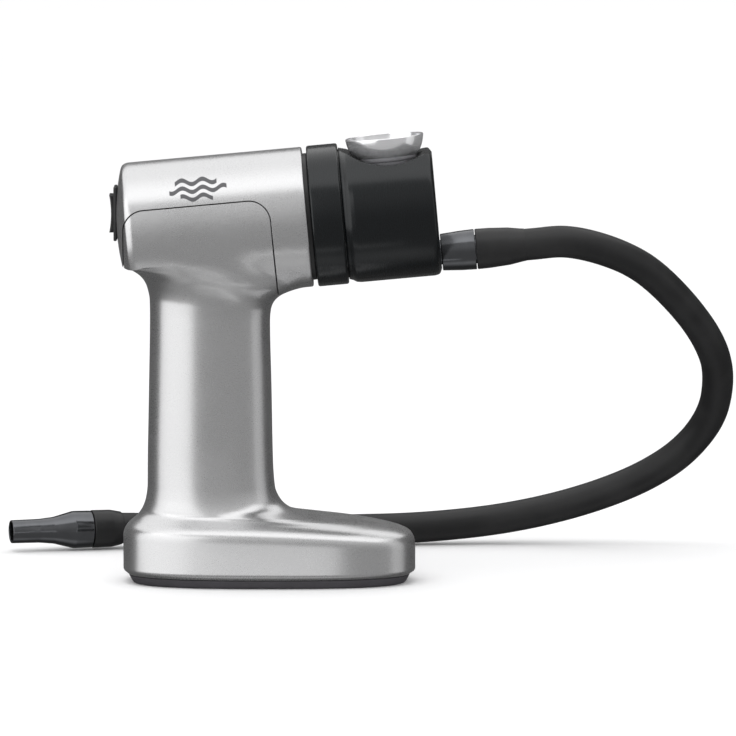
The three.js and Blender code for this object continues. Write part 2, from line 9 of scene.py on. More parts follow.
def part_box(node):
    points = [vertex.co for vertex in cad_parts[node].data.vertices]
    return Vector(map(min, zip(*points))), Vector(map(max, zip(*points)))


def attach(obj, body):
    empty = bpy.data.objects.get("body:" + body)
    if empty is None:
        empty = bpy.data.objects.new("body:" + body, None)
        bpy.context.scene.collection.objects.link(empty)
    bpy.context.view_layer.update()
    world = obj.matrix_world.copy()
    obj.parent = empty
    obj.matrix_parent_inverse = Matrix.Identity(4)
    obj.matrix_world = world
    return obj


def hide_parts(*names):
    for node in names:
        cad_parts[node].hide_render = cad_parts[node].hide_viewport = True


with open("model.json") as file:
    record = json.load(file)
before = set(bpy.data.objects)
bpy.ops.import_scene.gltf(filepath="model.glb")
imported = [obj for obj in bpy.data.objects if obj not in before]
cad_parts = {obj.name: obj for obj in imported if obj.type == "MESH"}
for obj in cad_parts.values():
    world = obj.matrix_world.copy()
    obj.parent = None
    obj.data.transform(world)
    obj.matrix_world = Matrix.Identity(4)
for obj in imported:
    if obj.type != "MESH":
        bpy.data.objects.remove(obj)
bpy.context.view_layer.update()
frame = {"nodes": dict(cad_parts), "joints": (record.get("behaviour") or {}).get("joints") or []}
print("frame loaded")

mm = 0.001
joints = {joint["name"]: joint for joint in frame["joints"]}
alongBarrel = Vector(joints["chamber_pull"]["axis"]).normalized()
upFromBarrel = Vector(joints["bowl_lift"]["axis"]).normalized()
barrelFace = Vector(joints["fan_spin"]["pos_m"]) / mm
tipWay = Vector(joints["nozzle_pull"]["axis"]).normalized()


def spaceFrom(origin, forward, up):  # a place with its own X along forward and Z along up, in mm
    turn = Matrix((forward, up.cross(forward), up)).transposed().to_4x4()
    return Matrix.Translation(origin) @ turn


barrelSpace = spaceFrom(barrelFace, alongBarrel, upFromBarrel)


def boxMiddle(node):
    low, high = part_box(node)
    return (Vector(low) + Vector(high)) / 2 / mm


# ---- camera

cameraFacts = {"target": Vector((0.0415, 0, 0.09)), "away": 3.4, "elevation": 6.0, "lens": 396}


def addCamera():
    facts = cameraFacts
    tilt = math.radians(facts["elevation"])
    back = Vector((0, -math.cos(tilt), math.sin(tilt)))
    data = bpy.data.cameras.new("camera")
    data.lens = facts["lens"]
    data.sensor_width = 36
    data.clip_start, data.clip_end = 0.1, 60
    camera = bpy.data.objects.new("camera", data)
    camera.location = facts["target"] + back * facts["away"]
    camera.rotation_euler = (-back).to_track_quat("-Z", "Y").to_euler()
    bpy.context.scene.collection.objects.link(camera)
    bpy.context.scene.camera = camera


addCamera()
print("camera placed")

# ---- shader tools


class Socket:  # an output that takes part in sums
    def __init__(self, tree, end):
        self.tree, self.end = tree, end

    def maths(self, operation, first, second):
        node = self.tree.nodes.new("ShaderNodeMath")
        node.operation = operation
        for slot, value in zip(node.inputs, (first, second)):
            if isinstance(value, Socket):
                self.tree.links.new(value.end, slot)
            else:
                slot.default_value = value
        return Socket(self.tree, node.outputs[0])

    def __add__(self, other):
        return self.maths("ADD", self, other)

    def __sub__(self, other):
        return self.maths("SUBTRACT", self, other)

    def __rsub__(self, other):
        return self.maths("SUBTRACT", other, self)

    def __mul__(self, other):
        return self.maths("MULTIPLY", self, other)

    def above(self, level):
        return self.maths("GREATER_THAN", self, level)

    def atMost(self, level):
        return self.maths("MINIMUM", self, level)

    def sine(self):
        return self.maths("SINE", self, 0)

    def unsigned(self):
        return self.maths("ABSOLUTE", self, 0)

    __radd__ = __add__
    __rmul__ = __mul__


class Finish:
    def __init__(self, name, **fixed):
        self.material = bpy.data.materials.new(name)
        self.material.use_nodes = True
        self.tree = self.material.node_tree
        self.shader = self.tree.nodes["Principled BSDF"]
        for socket, value in fixed.items():
            self.shader.inputs[socket.replace("_", " ")].default_value = value

    def node(self, kind, settings=None, inputs=None, output=0):
        node = self.tree.nodes.new(kind)
        for setting, value in (settings or {}).items():
            setattr(node, setting, value)
        for socket, value in (inputs or {}).items():
            self.feed(node.inputs[socket], value)
        return Socket(self.tree, node.outputs[output])

    def feed(self, slot, value):
        if isinstance(value, Socket):
            self.tree.links.new(value.end, slot)
        else:
            slot.default_value = value

    def give(self, socket, value):
        self.feed(self.shader.inputs[socket], value)

    def place(self, scale=(1, 1, 1), turn=(0, 0, 0)):  # object coordinates, in mm
        place = self.node("ShaderNodeTexCoord", output=3)
        inputs = {"Vector": place, "Scale": [s / mm for s in scale], "Rotation": turn}
        return self.node("ShaderNodeMapping", inputs=inputs)

    def noise(self, size, detail=2, at=None, roughness=0.5):
        inputs = {"Vector": at or self.place(), "Scale": 1 / size, "Detail": detail, "Roughness": roughness}
        return self.node("ShaderNodeTexNoise", inputs=inputs)

    def flakes(self, size):  # 0 to 1, one value for each fleck
        inputs = {"Vector": self.place(), "Scale": 1 / size}
        colour = self.node("ShaderNodeTexVoronoi", inputs=inputs, output=1)
        return self.node("ShaderNodeSeparateColor", inputs={0: colour})

    def mixed(self, share, first, second):  # colours
        inputs = {0: share, 6: first, 7: second}
        return self.node("ShaderNodeMix", {"data_type": "RGBA"}, inputs, output=2)

    def smooth(self, value, low, high):  # 0 below low, 1 above high
        inputs = {"Value": value, "From Min": low, "From Max": high}
        return self.node("ShaderNodeMapRange", {"interpolation_type": "SMOOTHSTEP"}, inputs)

    def bump(self, height, depth, edge=0):  # depth and edge rounding in mm
        inputs = {"Height": height, "Distance": depth * mm, "Strength": 1.0}
        if edge:
            inputs["Normal"] = self.node("ShaderNodeBevel", {"samples": 4}, {"Radius": edge * mm})
        self.give("Normal", self.node("ShaderNodeBump", inputs=inputs))


def shade(colour, factor):
    return tuple(min(1, channel * factor) for channel in colour) + (1,)


def moulded(name, colour, roughness=0.5, metallic=0.0, grain=0.35, depth=0.012, spread=0.12, edge=0):
    finish = Finish(name, Metallic=metallic)
    patches = finish.noise(9, 3)
    fine = finish.noise(grain, 3, roughness=0.6)
    mix = finish.smooth(patches * 0.6 + fine * 0.4, 0.3, 0.7)
    finish.give("Base Color", finish.mixed(mix, shade(colour, 1 - spread), shade(colour, 1 + spread)))
    finish.give("Roughness", finish.smooth(patches, 0.3, 0.7) * 0.08 + fine * 0.05 + (roughness - 0.065))
    finish.bump(fine, depth, edge)
    return finish.material


silverFacts = {
    "colour": (0.58, 0.58, 0.585), "roughness": 0.3, "flake": 0.16, "edge": 0.2,
    "mark": {
        "ink": (0.07, 0.07, 0.075, 1), "swing": 0.85, "length": 8.6, "width": 0.85, "blur": 0.1, "end": 0.3,
        "waves": [(-52.5, -35, 20.6), (-55, -31, 17.5), (-50.5, -37, 14.4)],  # start, end, height
    },
}


def wisps(finish):  # three printed smoke waves on the barrel's near side
    mark = silverFacts["mark"]
    spot = finish.node("ShaderNodeSeparateXYZ", inputs={0: finish.place()})
    x, y, z = (Socket(finish.tree, spot.end.node.outputs[i]) for i in range(3))
    x, z = x - barrelFace.x, z - barrelFace.z
    along = x * alongBarrel.x + z * alongBarrel.z
    up = z * alongBarrel.x - x * alongBarrel.z
    turn = along * (2 * math.pi / mark["length"])
    swing = turn.sine() * mark["swing"]
    ink = None
    for start, end, level in mark["waves"]:
        off = (up - swing - level).unsigned()
        stroke = 1 - finish.smooth(off, mark["width"] - mark["blur"], mark["width"] + mark["blur"])
        stroke = stroke * finish.smooth(along, start, start + mark["end"])
        stroke = stroke * (1 - finish.smooth(along, end, end + mark["end"]))
        ink = stroke if ink is None else ink + stroke
    return ink.atMost(1) * (1 - y.above(0))


def silverPaint():
    facts = silverFacts
    finish = Finish("silverPaint", Coat_Weight=0.2, Coat_Roughness=0.15)
    flakes = finish.flakes(facts["flake"])
    cloud = finish.noise(14, 2)
    lift = flakes * 0.75 + cloud * 0.25
    metal = finish.mixed(lift, shade(facts["colour"], 0.93), shade(facts["colour"], 1.07))
    ink = wisps(finish)
    finish.give("Base Color", finish.mixed(ink, metal, facts["mark"]["ink"]))
    finish.give("Metallic", 0.95 - ink * 0.75)
    finish.give("Roughness", ink * 0.12 + flakes * 0.07 + cloud * 0.06 + (facts["roughness"] - 0.065))
    peel = finish.noise(2.6, 1)
    finish.bump(peel, 0.004, facts["edge"])
    return finish.material


anodisedFacts = {"colour": (0.0018, 0.0034, 0.0046), "roughness": 0.27, "line": 0.16, "edge": 0.4}


def blackAnodised():  # turned aluminium: fine rings round the barrel
    facts = anodisedFacts
    finish = Finish("blackAnodised", Metallic=0.45, Specular_IOR_Level=0.32,
                    Coat_Weight=0.5, Coat_Roughness=0.2)
    lean = math.atan2(alongBarrel.z, alongBarrel.x)
    rings = finish.noise(facts["line"], 2, finish.place((1, 0.01, 0.01), (0, lean, 0)))
    patches = finish.noise(7, 2)
    mix = rings * 0.5 + patches * 0.5
    finish.give("Base Color", finish.mixed(mix, shade(facts["colour"], 0.8), shade(facts["colour"], 1.25)))
    finish.give("Roughness", rings * 0.08 + patches * 0.06 + (facts["roughness"] - 0.07))
    finish.bump(rings, 0.003, facts["edge"])
    return finish.material


def polishedSteel():
    finish = Finish("polishedSteel", Metallic=0.78)
    rings = finish.noise(0.25, 1, finish.place((0.05, 0.05, 1)))
    smudge = finish.noise(6, 3)
    finish.give("Base Color", finish.mixed(smudge, (0.88, 0.88, 0.9, 1), (0.95, 0.95, 0.96, 1)))
    finish.give("Roughness", finish.smooth(smudge, 0.35, 0.7) * 0.05 + rings * 0.02 + 0.15)
    finish.bump(rings, 0.0015, 0.3)
    return finish.material


def gunmetal(name, way):  # rings run round a tube that points along way
    finish = Finish(name, Metallic=1.0)
    lean = (0, math.atan2(way.z, way.x), 0) if abs(way.y) < 0.01 else (0, 0, -math.atan2(way.y, way.x))
    rings = finish.noise(0.14, 2, finish.place((1, 0.02, 0.02), lean))
    smudge = finish.noise(5, 3)
    finish.give("Base Color", finish.mixed(smudge, (0.1, 0.103, 0.11, 1), (0.145, 0.148, 0.156, 1)))
    finish.give("Roughness", smudge * 0.06 + rings * 0.05 + 0.12)
    finish.bump(rings, 0.002, 0.2)
    return finish.material


def rubber(name="hoseRubber", roughness=0.5):
    finish = Finish(name, Specular_IOR_Level=0.38)
    fine = finish.noise(0.45, 3, roughness=0.65)
    patches = finish.noise(18, 3)
    mix = finish.smooth(patches, 0.35, 0.7)
    finish.give("Base Color", finish.mixed(mix, (0.008, 0.008, 0.0086, 1), (0.0135, 0.0135, 0.014, 1)))
    finish.give("Roughness", mix * 0.1 + fine * 0.06 + (roughness - 0.08))
    finish.bump(fine, 0.01)
    return finish.material


def cellWrap():  # printed sleeve: dark, with a copper-coloured band at one end and bare metal caps
    finish = Finish("cellWrap", Roughness=0.32)
    low, high = (Vector(corner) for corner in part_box("battery_1"))
    level = finish.node("ShaderNodeSeparateXYZ", inputs={0: finish.place()}, output=2)
    band = finish.smooth(level, high.z / mm - 17, high.z / mm - 16.8)
    ends = 1 - level.above(low.z / mm + 0.6) * (1 - level.above(high.z / mm - 1.6))
    fine = finish.noise(0.8, 2)
    sleeve = finish.mixed(band, (0.03, 0.03, 0.035, 1), (0.55, 0.3, 0.12, 1))
    worn = finish.mixed(fine * 0.25, sleeve, (0.35, 0.35, 0.35, 1))
    finish.give("Base Color", finish.mixed(ends, worn, (0.6, 0.6, 0.6, 1)))
    finish.give("Metallic", ends * 0.6 + 0.3)
    finish.bump(fine, 0.01)
    return finish.material


def boardGreen():  # solder mask over copper tracks
    finish = Finish("boardGreen", Roughness=0.3)
    tracks = finish.node("ShaderNodeTexBrick", {"offset": 0.5}, {
        "Vector": finish.place((1, 1, 1), (math.pi / 2, 0, 0)), "Scale": 0.35, "Mortar Size": 0.06}, output=1)
    fine = finish.noise(0.6, 2)
    greens = (0.012, 0.09, 0.04, 1), (0.04, 0.2, 0.09, 1)
    finish.give("Base Color", finish.mixed(tracks * 0.6 + fine * 0.2, *greens))
    finish.bump(tracks * 0.8 + fine * 0.2, 0.03)
    return finish.material


finishes = {
    "silver": silverPaint(),
    "foot": moulded("footPlastic", (0.052, 0.049, 0.056), 0.5, grain=0.3, depth=0.02, edge=0.25),
    "anodised": blackAnodised(),
    "plastic": moulded("blackPlastic", (0.012, 0.012, 0.013), 0.42, grain=0.28, depth=0.014, edge=0.25),
    "gloss": moulded("blackGloss", (0.007, 0.007, 0.008), 0.16, grain=0.8, depth=0.003, edge=0.3),
    "polished": polishedSteel(),
    "inletMetal": gunmetal("inletGunmetal", alongBarrel),
    "tipMetal": gunmetal("tipGunmetal", tipWay),
    "rubber": rubber(),
    "cuff": rubber("cuffRubber", 0.42),
    "steel": moulded("plainSteel", (0.5, 0.5, 0.52), 0.3, 1.0, grain=0.3, depth=0.004, edge=0.15),
    "copper": moulded("contactCopper", (0.62, 0.3, 0.16), 0.32, 1.0, grain=0.5, depth=0.005),
    "bronze": moulded("sinteredBronze", (0.45, 0.28, 0.1), 0.45, 0.9, grain=0.25, depth=0.01),
    "board": boardGreen(),
    "cell": cellWrap(),
    "silicone": moulded("silicone", (0.16, 0.16, 0.17), 0.6, grain=0.5, depth=0.008),
    "red": moulded("redInsulation", (0.35, 0.012, 0.01), 0.4, grain=0.4, depth=0.006),
    "black": moulded("blackInsulation", (0.014, 0.014, 0.015), 0.4, grain=0.4, depth=0.006),
}
print("finishes made")

# ---- mesh tools, all in mm


def filleted(corners, steps=6):  # [x, y] or [x, y, radius]; an open line's ends stay sharp
    line = []
    for i, corner in enumerate(corners):
        here = Vector(corner[:2])
        if len(corner) < 3 or not 0 < i < len(corners) - 1:
            line.append(here)
            continue
        before = (Vector(corners[i - 1][:2]) - here).normalized()
        after = (Vector(corners[i + 1][:2]) - here).normalized()
        half = before.angle(after) / 2
        middle = here + (before + after).normalized() * corner[2] / math.sin(half)
        start = here + before * corner[2] / math.tan(half) - middle
        end = here + after * corner[2] / math.tan(half) - middle
        sweep = start.angle_signed(end)
        line += [middle + Matrix.Rotation(-sweep * k / steps, 2) @ start for k in range(steps + 1)]
    return line


def spun(profile, segments=96, steps=5):  # [radius, distance along X, fillet]
    line = filleted(profile, steps)
    bm = bmesh.new()
    stops = [bm.verts.new((along, 0, radius)) for radius, along in line]
    edges = [bm.edges.new(pair) for pair in zip(stops, stops[1:])]
    bmesh.ops.spin(bm, geom=stops + edges, cent=(0, 0, 0), axis=(1, 0, 0), dvec=(0, 0, 0),
                   angle=2 * math.pi, steps=segments, use_merge=True, use_duplicate=False)
    return tidied(bm)


def tidied(bm, near=1e-4):
    bmesh.ops.remove_doubles(bm, verts=bm.verts, dist=near)
    bmesh.ops.dissolve_degenerate(bm, edges=bm.edges, dist=near)
    bmesh.ops.recalc_face_normals(bm, faces=bm.faces)
    if bm.calc_volume(signed=True) < 0:  # a thin lip can turn the whole skin inside out
        bmesh.ops.reverse_faces(bm, faces=bm.faces)
    return bm


def prism(outline, low, high):  # an outline in X and Z, from low to high along Y
    bm = bmesh.new()
    face = bm.faces.new([bm.verts.new((x, low, z)) for x, z in outline])
    made = bmesh.ops.extrude_face_region(bm, geom=[face])["geom"]
    far = [part for part in made if isinstance(part, bmesh.types.BMVert)]
    bmesh.ops.translate(bm, verts=far, vec=(0, high - low, 0))
    return tidied(bm)


def block(low, high, bevel=0, segments=3):
    bm = bmesh.new()
    bmesh.ops.create_cube(bm, size=1)
    low, high = Vector(low), Vector(high)
    bmesh.ops.scale(bm, verts=bm.verts, vec=high - low)
    bmesh.ops.translate(bm, verts=bm.verts, vec=(low + high) / 2)
    if bevel:
        roundEdges(bm, bm.edges, bevel, segments)
    return bm


def roundEdges(bm, edges, width, segments=3):
    bmesh.ops.bevel(bm, geom=list(edges), offset=width, offset_type="OFFSET", affect="EDGES",
                    segments=segments, profile=0.5, material=-1, clamp_overlap=True)


def wrapped(sides, rows, place):  # a grid rolled into a closed skin: place(angle, share of the way up)
    bm = bmesh.new()
    bmesh.ops.create_grid(bm, x_segments=sides, y_segments=rows, size=0.5)
    for vert in bm.verts:
        vert.co = place(2 * math.pi * (vert.co.x + 0.5), vert.co.y + 0.5)
    bmesh.ops.remove_doubles(bm, verts=bm.verts, dist=1e-3)
    ends = [edge for edge in bm.edges if edge.is_boundary]
    bmesh.ops.holes_fill(bm, edges=ends, sides=0)
    return tidied(bm)


def moved(bm, space):
    bmesh.ops.transform(bm, matrix=space, verts=bm.verts)
    return bm


def looseObject(bm, name="loose"):
    mesh = bpy.data.meshes.new(name)
    bm.to_mesh(mesh)
    thing = bpy.data.objects.new(name, mesh)
    bpy.context.scene.collection.objects.link(thing)
    return thing


def applied(thing):  # the mesh with its modifiers, as a new bmesh
    bpy.context.view_layer.update()
    seen = thing.evaluated_get(bpy.context.evaluated_depsgraph_get())
    bm = bmesh.new()
    bm.from_mesh(seen.to_mesh())
    seen.to_mesh_clear()
    return bm


def booleanOf(bm, operation, others, nudge):
    base = looseObject(bm)
    tools = [looseObject(other, "tool") for other in others]
    for tool in tools:
        tool.location = (nudge, nudge, nudge)
        change = base.modifiers.new(operation, "BOOLEAN")
        change.operation, change.solver, change.object = operation, "EXACT", tool
    result = applied(base)
    for thing in [base, *tools]:
        mesh = thing.data
        bpy.data.objects.remove(thing)
        bpy.data.meshes.remove(mesh)
    return result


def reachOf(bm, axis, side):
    return max(vert.co[axis] * side for vert in bm.verts)


def isSound(result, bm, operation):  # a cut stays inside what was cut, and a join only adds
    if not result.faces:
        return False
    before, after = bm.calc_volume(), result.calc_volume()
    if operation == "UNION":
        return after > before * 0.999
    ways = [(axis, side) for axis in range(3) for side in (1, -1)]
    grown = any(reachOf(result, *way) > reachOf(bm, *way) + 0.01 for way in ways)
    return 0 < after < before * 1.001 and not grown


def combined(bm, operation, *others):  # a cut that goes wrong is tried again a few microns away
    for nudge in (0, 0.003, -0.004, 0.007, -0.009):
        result = booleanOf(bm, operation, others, nudge)
        if isSound(result, bm, operation):
            return result
        print("cut repeated", operation, nudge)
        result.free()
    raise RuntimeError(operation + " came out wrong at every try")


def cutBy(bm, *others):
    return combined(bm, "DIFFERENCE", *others)


def joinedTo(bm, *others):
    return combined(bm, "UNION", *others)


def within(bm, *others):
    return combined(bm, "INTERSECT", *others)


def piece(name, bm, body, finish, stands=(), space=None, sharp=35):
    if space:
        moved(bm, space)
    bmesh.ops.scale(bm, verts=bm.verts, vec=(mm, mm, mm))
    for face in bm.faces:
        face.smooth = True
    for edge in bm.edges:
        if not edge.is_manifold or edge.calc_face_angle(0) > math.radians(sharp):
            edge.smooth = False
    thing = looseObject(bm, name)
    thing.data.name = name
    bm.free()
    thing.data.materials.append(finishes[finish])
    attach(thing, body)
    if stands:
        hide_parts(*stands)
    return thing


# ---- hose, its cuffs and the nozzle

hoseFacts = {
    "radius": 6.7,
    "route": [
        (103.2, 0, 141.6), (111, 0.2, 142.3), (124, 4, 142.9), (140, 12, 139), (157, 24, 130.4),
        (174, 41.5, 114), (186.5, 59, 96), (191.3, 72, 82), (190.6, 86, 65), (185.5, 95.5, 53),
        (176, 103, 41.7), (163, 110, 32.2), (147, 116.5, 24.2), (125, 121.5, 16.6), (99, 123.8, 10.9),
        (66, 121.5, 7.6), (30, 117, 6.9), (-10, 113.6, 6.9), (-42, 112.6, 7.4), (-56, 110.9, 8.3),
        (-66.6, 108.1, 8.8),
    ],
}
tipFacts = {
    "base": (-67, 108, 8.8),
    "cuff": [(6.3, 0.2), (6.95, -2.2, 0.3), (8.1, 3.5, 5), (8.2, 12, 0.5), (6.2, 12), (6.2, 1), (6.3, 0.2)],
    "metal": [
        (4, 1.5), (6, 1.5, 0.2), (6, 12.3), (8, 12.3, 0.4), (8.1, 20.3, 3), (5.8, 29, 10), (5.15, 35.6, 20),
        (5, 47.8, 0.35), (4.2, 47.8, 0.35), (4, 30), (4, 1.5),
    ],
}
inletFacts = {
    "drop": -20,
    "cuff": [
        (6.3, 70.3), (8.5, 70.3, 0.5), (8.4, 76, 20), (7.85, 84.2, 3), (7.0, 89.2, 4), (6.78, 91, 0.2),
        (6.72, 91), (6.72, 87), (6.3, 86), (6.3, 70.3),
    ],
    "metal": [
        (4.4, 53), (5.2, 53, 0.2), (5.2, 55.7), (7.7, 55.7, 0.4), (8.3, 64, 10), (8.5, 70, 0.4), (6, 70),
        (6, 84.5, 0.4), (4.4, 84.5, 0.3), (4.4, 53),
    ],
}


def hoseLength(route):
    return sum((b - a).length for a, b in zip(route, route[1:]))


def smoothRoute(points, steps=8):  # a centripetal Catmull-Rom line through the points
    points = [Vector(point) for point in points]
    points = [2 * points[0] - points[1], *points, 2 * points[-1] - points[-2]]
    line = []
    for a, b, c, d in zip(points, points[1:], points[2:], points[3:]):
        first = math.sqrt((b - a).length)
        second = first + math.sqrt((c - b).length)
        third = second + math.sqrt((d - c).length)
        for k in range(steps):
            t = first + (second - first) * k / steps
            ab = a.lerp(b, t / first)
            bc = b.lerp(c, (t - first) / (second - first))
            cd = c.lerp(d, (t - second) / (third - second))
            abc = ab.lerp(bc, t / second)
            bcd = bc.lerp(cd, (t - first) / (third - first))
            line.append(abc.lerp(bcd, (t - first) / (second - first)))
    return [*line, points[-2]]


def addHose():
    line = [point * mm for point in smoothRoute(hoseFacts["route"])]
    data = bpy.data.curves.new("hose", "CURVE")
    data.dimensions = "3D"
    data.bevel_depth = hoseFacts["radius"] * mm
    data.bevel_resolution = 8
    data.use_fill_caps = True
    spline = data.splines.new("POLY")
    spline.points.add(len(line) - 1)
    for stop, point in zip(spline.points, line):
        stop.co = (*point, 1)
    spline.use_smooth = True
    data.materials.append(finishes["rubber"])
    hose = bpy.data.objects.new("hose_tube", data)
    bpy.context.scene.collection.objects.link(hose)
    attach(hose, "hose_body")
    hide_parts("hose")

    inletSpace = barrelSpace @ Matrix.Translation((0, 0, inletFacts["drop"]))
    inletCuff = piece("inlet_cuff", spun(inletFacts["cuff"]), "hose_body", "cuff", ["hose_cuff_inlet"],
                      inletSpace)
    piece("inlet_nipple", spun(inletFacts["metal"]), "chamber", "inletMetal", ["hose_nipple"],
          inletSpace)
    tipSpace = spaceFrom(Vector(tipFacts["base"]), tipWay, Vector((0, 0, 1)))
    tipCuff = piece("tip_cuff", spun(tipFacts["cuff"]), "hose_body", "cuff", ["hose_cuff_outlet"],
                    tipSpace)
    tip = piece("tip_nozzle", spun(tipFacts["metal"]), "nozzle_body", "tipMetal", ["nozzle"],
                tipSpace)
    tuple(line[0])
    hoseLength(line)
    print("hose", round(hoseLength(line), 4), "m long")


addHose()

# ---- silver body: barrel, handle and stand in one form, then parted

bodyFacts = {
    "radius": 29.4, "front": 1.2, "rear": -72.5, "apex": -79, "dome": 95, "bore": 26.9, "wall": 2.3,
    "notchFront": -24, "crotch": 133.5, "seam": 0.5, "parting": 0.3,
    "tongue": {"top": 10.7, "front": -14.1, "rear": -74.6, "corner": 8.8, "foot": -30.5, "rearX": -60.4},
    "switchHole": {"x": (-80, -60), "half": (7.6, 10.4)},
    "posts": [(-25, 74), (-25, 121)],  # X and Z of the handle screws
    "sleeve": [(0, -13), (1.5, -13), (1.5, 19), (4, 19), (4, -19), (0, -19)],
    "recess": [(0, 13.9), (3.6, 13.9), (3.6, 40), (0, 40)],
    "feet": {(-50, -13): 23.6, (-50, 13): 23.6, (44, -15): 22.2, (44, 15): 22.2},  # foot posts and their tops
    "footPost": {"pilot": 1.3, "radius": 3.6, "low": 3.9, "depth": 14},
    "blend": [(16, 10), (12, 16), (8, 20), (5, 24), (2.5, 10)],  # reach from the seam, and passes
    "blendFront": -3, "blendLow": 116,
    "columnSides": 144, "columnRows": 196, "barrelSides": 160, "barrelRow": 1.3, "frontEdge": 0.8,
}
# level at the rear and at the front, rear and front ends, half width, squareness behind and ahead,
# rise of the middle
sections = [
    (3.9, 3.9, -59.5, 59.5, 30.1, 2.7, 2.7, 0), (6, 5.7, -61.4, 61.4, 32, 2.7, 2.7, 0),
    (20.2, 15.5, -61.4, 61.4, 32, 2.7, 2.7, 1.2), (21.9, 17.2, -61, 61.2, 31.8, 2.7, 2.7, 1.5),
    (23.4, 18.7, -60.2, 60.7, 31, 2.7, 2.7, 1.6), (25.2, 20.6, -58.6, 59.6, 29.5, 2.65, 2.65, 1.4),
    (26.8, 22.4, -56.7, 56.6, 27.7, 2.6, 2.6, 1.1), (28.5, 24.2, -55.1, 50.5, 25.9, 2.5, 2.5, 0.6),
    (29.7, 25.9, -54.3, 42, 24.7, 2.4, 2.4, 0.2), (30.9, 27.2, -53.5, 31, 23.6, 2.35, 2.35, 0),
    (32.2, 28.5, -52.9, 19, 22.7, 2.3, 2.3, 0), (34.2, 30.2, -52.2, 10.5, 21.8, 2.25, 2.25, 0),
    (37, 34, -51.6, 5.2, 20.9, 2.2, 2.2, 0), (41, 40, -51.2, 2.4, 20.3, 2.2, 2.2, 0),
    (51, 51, -51.1, 1.6, 20, 2.2, 2.2, 0), (82, 82, -50.5, 1, 20, 2.2, 2.2, 0),
    (113, 110, -50, 0.4, 20, 2.2, 2.2, 0), (119, 115.4, -50.1, 0.9, 20.3, 2.2, 2.2, 0),
    (123.4, 118.2, -50.9, 2.1, 20.9, 2.3, 2.2, 0), (126.4, 120.6, -52, 4.1, 21.7, 2.45, 2.2, 0),
    (129.4, 122.8, -54.2, 9, 22.7, 2.7, 2.2, 0), (132, 124.8, -57.8, 14, 23.9, 3.1, 2.2, 0),
    (133.5, 128, -60.6, 13, 24.7, 3.7, 2.3, 0), (137, 133, -59.4, 8, 26.7, 3.7, 2.4, 0),
    (141, 140, -57, 2, 28.1, 3.5, 2.5, 0), (147, 148, -52, -6, 28.4, 3.3, 2.6, 0),
]


def slopesAt(spots, values):  # level wherever the values turn, so a line through them never overshoots
    steps = [(b - a) / (t - s) for a, b, s, t in zip(values, values[1:], spots, spots[1:])]
    inner = [2 * a * b / (a + b) if a * b > 0 else 0 for a, b in zip(steps, steps[1:])]
    return [steps[0], *inner, steps[-1]]


class SmoothRows:  # rows of numbers joined by smooth lines
    def __init__(self, rows):
        self.spots = [0]
        for a, b in zip(rows, rows[1:]):
            self.spots.append(self.spots[-1] + math.dist(a[:5], b[:5]))
        self.columns = [(values, slopesAt(self.spots, values)) for values in zip(*rows)]

    def at(self, share):
        spot = share * self.spots[-1]
        i = max(k for k in range(len(self.spots) - 1) if self.spots[k] <= spot + 1e-9)
        span = self.spots[i + 1] - self.spots[i]
        t = (spot - self.spots[i]) / span
        a, b, c, d = 2 * t**3 - 3 * t**2 + 1, t**3 - 2 * t**2 + t, 3 * t**2 - 2 * t**3, t**3 - t**2
        return [v[i] * a + m[i] * span * b + v[i + 1] * c + m[i + 1] * span * d for v, m in self.columns]


smoothSections = SmoothRows(sections)


def ovalPoint(row, angle, inset=0, drop=0):
    rearZ, frontZ, rear, front, half, behind, ahead, arch = row
    c, s = math.cos(angle), math.sin(angle)
    square = ahead if c > 0 else behind
    reach = (abs(c) ** square + abs(s) ** square) ** (-1 / square)
    along, across = c * reach, s * reach
    level = rearZ + (frontZ - rearZ) * (along + 1) / 2 + arch * (1 - along * along)
    x = (rear + front) / 2 + ((front - rear) / 2 - inset) * along
    return Vector((x, (half - inset) * across, level - drop))


def columnForm(sides, rows, inset=0, drop=lambda share, row: 0):
    def place(angle, share):
        row = smoothSections.at(share)
        return ovalPoint(row, angle, inset, drop(share, row))

    return wrapped(sides, rows, place)


def hollowDrop(share, row):
    wall = bodyFacts["wall"]
    return 4 if share == 0 else max(0, min(wall, (45 - row[0]) / 6))


def barrelForm(radius, apex, rear, front, sides, rowLength, edge, soft=1):
    dome = bodyFacts["dome"]

    def depth(across):
        return apex + dome - math.sqrt(dome**2 - across**2)

    line = [(radius * k / 18, depth(radius * k / 18)) for k in range(17)]
    shoulder = (radius * 0.966, depth(radius * 0.9) + 0.75, 2.3 * soft)
    rim = [line[-1], shoulder, (radius, rear, 4.8 * soft), (radius, rear + 6)]
    line += [tuple(point) for point in filleted(rim, 5)[1:]]
    count = round((front - rear - 7) / rowLength)
    start = line[-1][1]
    line += [(radius, start + (front - edge - start) * k / count) for k in range(1, count)]
    lip = [(radius, front - edge * 2), (radius, front, edge), (0, front)]
    line += [tuple(point) for point in filleted(lip, 4)[1:]]
    return moved(spun(line, sides), barrelSpace)


def inWorld(along, up):  # barrel distances to X and Z
    point = barrelSpace @ Vector((along, 0, up))
    return point.x, point.z


def handleRegion(grow):
    tongue, seam, crotch = bodyFacts["tongue"], bodyFacts["seam"], bodyFacts["crotch"]
    radius = tongue["corner"] + grow
    front, rear, top = tongue["front"] + grow, tongue["rear"] - grow, tongue["top"] + grow
    shoulder = inWorld(front, tongue["foot"])
    corners = [
        (-95, -20), (-95, crotch - seam + grow), (tongue["rearX"] - grow, crotch - seam + grow),
        (*inWorld(rear, top), radius), (*inWorld(front, top), radius), shoulder, (95, shoulder[1]), (95, -20),
    ]
    return prism(filleted(corners, 14), -45, 45)


def treeOf(spots):
    tree = kdtree.KDTree(len(spots))
    for i, spot in enumerate(spots):
        tree.insert(spot, i)
    tree.balance()
    return tree


